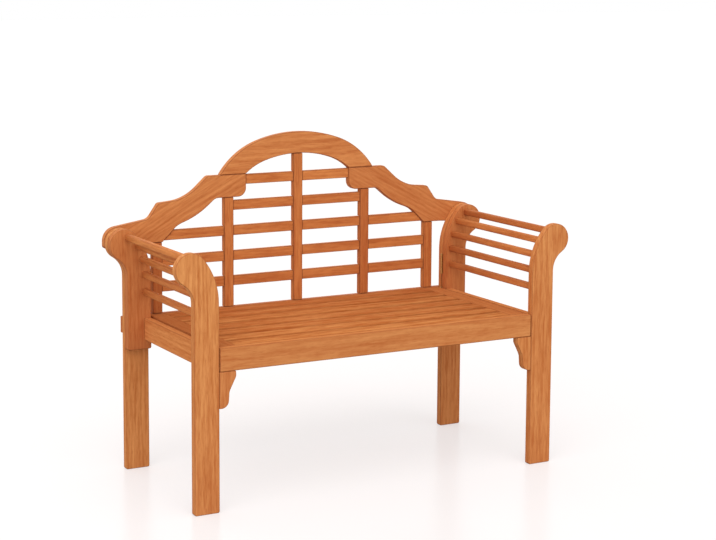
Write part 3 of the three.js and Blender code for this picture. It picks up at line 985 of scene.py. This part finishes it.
@dataclass
class EndFrame:
    """One end of the bench: front leg, end stile, arm slats, lower rail and bracket."""

    side: str
    seed: int
    # How much lighter the front leg is painted at its top than at its foot, as painted light from
    # above
    leg_fade: float
    # Partly painted shade: the end stile's deep tone darkens its front, which stands in the shade
    # of the arm slats and the front leg
    stile_tone: float
    bracket_tone: float
    slat_tones: tuple[float, ...]
    board_rounding: float = 2.6 * MM
    slat_rounding: float = 4.0 * MM
    bracket_rounding: float = 1.8 * MM
    leg_tone: float = 0.24
    # How much lighter the end stile is painted at its top than at its foot, as painted shade at its
    # foot
    stile_fade: float = 0.28
    rail_tone: float = 0.0

    def build(self, shop: Workshop) -> None:
        """Makes the end frame.

        Args:
            shop: The workshop with the finishes.
        """
        self.leg_boards(shop)
        nodes = [f"arm_slat_{self.side}_{i}" for i in range(1, len(self.slat_tones) + 1)]
        low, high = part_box(nodes[0])
        size = high - low
        row = SlatRow(
            length=size.y,
            width=size.x,
            thickness=size.z,
            rounding=self.slat_rounding,
            tones=self.slat_tones,
            seed=self.seed,
        )
        row.build(shop, f"arm_slats_{self.side}", ARM_WOOD, Body.FRAME, 90.0, nodes)

    def leg_boards(self, shop: Workshop) -> None:
        """Makes the front leg, the end stile, the lower rail and the bracket.

        Args:
            shop: The workshop with the finishes.
        """
        side, body, upright, edges = self.side, Body.FRAME, Grain.UPRIGHT, self.board_rounding
        tone, painted_top_light = self.leg_tone, self.leg_fade
        shop.board(f"front_leg_{side}", LEG_WOOD, body, upright, edges, tone, painted_top_light)
        tone, painted_top_light = self.stile_tone, self.stile_fade
        shop.board(f"end_stile_{side}", LEG_WOOD, body, upright, edges, tone, painted_top_light)
        shop.board(f"lower_rail_{side}", RAIL_WOOD, body, Grain.DEEP, edges, self.rail_tone)
        edges, tone = self.bracket_rounding, self.bracket_tone
        shop.board(f"corner_bracket_{side}", LEG_WOOD, body, upright, edges, tone)


@dataclass
class Hardware:
    """The hinges between the end frames and the rear legs, and the pins that the seat turns on."""

    hinges: int = 2
    hinge_rounding: float = 0.3 * MM
    pin_rounding: float = 0.4 * MM

    def build(self, shop: Workshop) -> None:
        """Makes the brass fittings.

        Args:
            shop: The workshop with the finishes.
        """
        for side in SIDES:
            for i in range(1, self.hinges + 1):
                for part in ("leg_leaf", "stile_leaf", "pin"):
                    shop.fitting(f"hinge_{side}_{i}_{part}", Body.FRAME, self.hinge_rounding)
            shop.fitting(f"seat_pivot_pin_{side}", Body.FRAME, self.pin_rounding)


@dataclass(frozen=True)
class Lamp:
    """A wide, soft sun lamp.

    The tilt is from straight down and the azimuth is 0 for light from the front. The spread is the
    lamp's angle, which softens the shadows. All three are in degrees.
    """

    name: str
    strength: float
    tilt: float
    azimuth: float
    spread: float

    def build(self) -> None:
        """Adds the lamp to the scene."""
        data = bpy.data.lights.new(self.name, "SUN")
        data.energy = self.strength
        data.angle = math.radians(self.spread)
        light = bpy.data.objects.new(self.name, data)
        light.rotation_euler = (math.radians(self.tilt), 0.0, math.radians(self.azimuth))
        bpy.context.scene.collection.objects.link(light)


@dataclass
class Studio:
    """A pale floor, soft light and the camera."""

    camera_place: Triple = (-2.28459, -4.10962, 1.38530)
    camera_yaw: float = 26.7689
    camera_pitch: float = -7.1652
    lens: float = 86.188
    sensor_width: float = 36.0
    shift: Span = (0.124, -0.12)
    view_reach: float = 200.0
    floor_reach: float = 40.0
    ambient: float = 0.74
    lamps: tuple[Lamp, ...] = (
        Lamp("key_light", strength=1.1, tilt=34.0, azimuth=-30.0, spread=55.0),
        Lamp("fill_light", strength=0.4, tilt=72.0, azimuth=20.0, spread=60.0),
        Lamp("side_light", strength=0.9, tilt=74.0, azimuth=-55.0, spread=60.0),
        Lamp("back_light", strength=0.3, tilt=52.0, azimuth=170.0, spread=60.0),
    )

    def build(self) -> None:
        """Sets up the floor, the world, the lamps and the camera."""
        bpy.context.scene.view_settings.view_transform = "Standard"
        self.floor()
        self.world()
        for lamp in self.lamps:
            lamp.build()
        self.camera()

    def camera(self) -> None:
        """Places the camera at the photograph's viewing angle."""
        data = bpy.data.cameras.new("camera")
        data.lens = self.lens
        data.sensor_width = self.sensor_width
        data.shift_x, data.shift_y = self.shift
        data.clip_end = self.view_reach
        camera = bpy.data.objects.new("camera", data)
        camera.location = self.camera_place
        pitch, yaw = math.radians(90.0 + self.camera_pitch), -math.radians(self.camera_yaw)
        camera.rotation_euler = (pitch, 0.0, yaw)
        bpy.context.scene.collection.objects.link(camera)
        bpy.context.scene.camera = camera

    def world(self) -> None:
        """Lights the bench evenly, and shows white to the camera and to reflections."""
        world = bpy.data.worlds.new("studio")
        world.use_nodes = True
        graph = Graph(world.node_tree)
        ray = graph.add("ShaderNodeLightPath").outputs
        seen = graph.sum("MAXIMUM", ray["Is Camera Ray"], ray["Is Glossy Ray"])
        seen = graph.sum("MAXIMUM", seen, ray["Is Transmission Ray"])
        dim = {"Color": rgba(WHITE), "Strength": self.ambient}
        full = {"Color": rgba(WHITE), "Strength": 1.0}
        soft = graph.out("ShaderNodeBackground", dim)
        white = graph.out("ShaderNodeBackground", full)
        both = graph.mix_shaders(seen, soft, white)
        graph.add("ShaderNodeOutputWorld", {"Surface": both})
        bpy.context.scene.world = world

    def floor(self) -> None:
        """Lays a pale floor that keeps the bench's shadow."""
        reach = self.floor_reach
        corners = [(-reach, -reach, 0), (reach, -reach, 0), (reach, reach, 0), (-reach, reach, 0)]
        mesh = bpy.data.meshes.new("floor")
        mesh.from_pydata(corners, [], [(0, 1, 2, 3)])
        mesh.materials.append(PaleFloor().material())
        floor = bpy.data.objects.new("floor", mesh)
        bpy.context.scene.collection.objects.link(floor)


def main() -> None:
    """Builds the bench and its studio."""
    logging.basicConfig(level=logging.INFO, format="%(name)s: %(message)s")
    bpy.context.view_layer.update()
    shop = Workshop()
    BackFrame().build(shop)
    Lattice().build(shop)
    Seat().build(shop)
    EndFrame(
        side="left",
        seed=3,
        leg_fade=0.38,
        stile_tone=0.62,
        bracket_tone=0.42,
        slat_tones=(0.0, 0.1, 0.0, 0.25, 0.15),
    ).build(shop)
    EndFrame(
        side="right",
        seed=5,
        leg_fade=0.15,
        stile_tone=0.68,
        bracket_tone=0.24,
        slat_tones=(0.55, 0.1, 0.25, 0.5, 0.4),
    ).build(shop)
    Hardware().build(shop)
    Studio().build()


if __name__ == "__main__":
    main()
